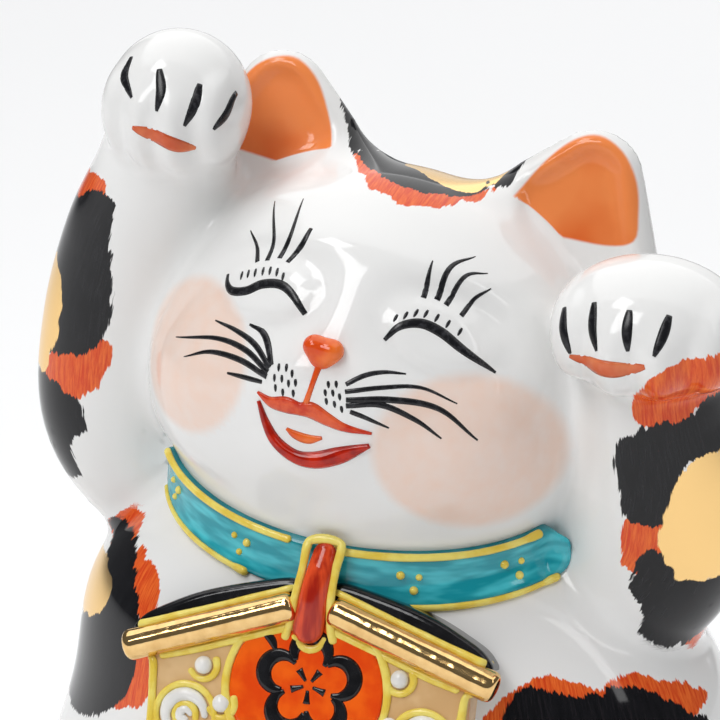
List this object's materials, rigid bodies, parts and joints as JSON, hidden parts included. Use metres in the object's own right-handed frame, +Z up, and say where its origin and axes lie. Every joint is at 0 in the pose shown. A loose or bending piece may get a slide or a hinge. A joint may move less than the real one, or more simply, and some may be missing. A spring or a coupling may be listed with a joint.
{
  "type": "beckoning cat figurine",
  "caption": "Seated porcelain lucky cat with both front paws raised, a collar and a votive plaque on its chest, hollow cast, standing on a flat foot ring.",
  "frame": {"origin": "centre of the foot ring, on the plane that the figurine stands on", "axes": "+Z up, -Y the way the cat faces, +X the cat's left"},
  "size_m": [0.1379, 0.1125, 0.1839],
  "materials": {
    "porcelain": "clear gloss glaze over white porcelain, hand-painted in overglaze colours",
    "biscuit": "unglazed porcelain, matt",
    "nose_enamel": "glossy orange-red overglaze",
    "lip_enamel": "glossy red overglaze",
    "teal_enamel": "glossy translucent blue-green enamel",
    "yellow_enamel": "glossy trailed yellow enamel",
    "red_enamel": "glossy deep red enamel",
    "black_enamel": "glossy black enamel",
    "white_enamel": "glossy raised white enamel",
    "board_glaze": "glossy cream glaze",
    "sun_enamel": "glossy orange-red overglaze",
    "bright_gold": "fired bright gold, mirror polish"
  },
  "bodies": {
    "root": {"torso_casting": "porcelain", "head_casting": "porcelain", "right_arm_casting": "porcelain", "left_arm_casting": "porcelain", "right_ear": "porcelain", "left_ear": "porcelain", "tail": "porcelain", "base_slab": "biscuit", "nose": "nose_enamel", "upper_lip": "lip_enamel", "lower_lip": "lip_enamel", "tongue": "nose_enamel", "collar_band_front": "teal_enamel", "collar_band_back": "teal_enamel", "collar_trim_upper_right": "yellow_enamel", "collar_trim_upper_left": "yellow_enamel", "collar_trim_lower_right": "yellow_enamel", "collar_trim_lower_left": "yellow_enamel", "collar_trim_upper_back": "yellow_enamel", "collar_trim_lower_back": "yellow_enamel", "collar_dots": "yellow_enamel", "hanger_strap": "red_enamel", "hanger_outline": "yellow_enamel", "gold_bar_right": "bright_gold", "gold_bar_left": "bright_gold", "eave_right": "black_enamel", "eave_left": "black_enamel", "plaque_board": "board_glaze", "sun_disc": "sun_enamel", "sun_rim": "yellow_enamel", "board_rim": "yellow_enamel", "pearls": "white_enamel", "pearl_cups": "yellow_enamel", "scrolls_white": "white_enamel", "scrolls_yellow": "yellow_enamel", "blossom_motif": "black_enamel"}
  },
  "joints": []
}
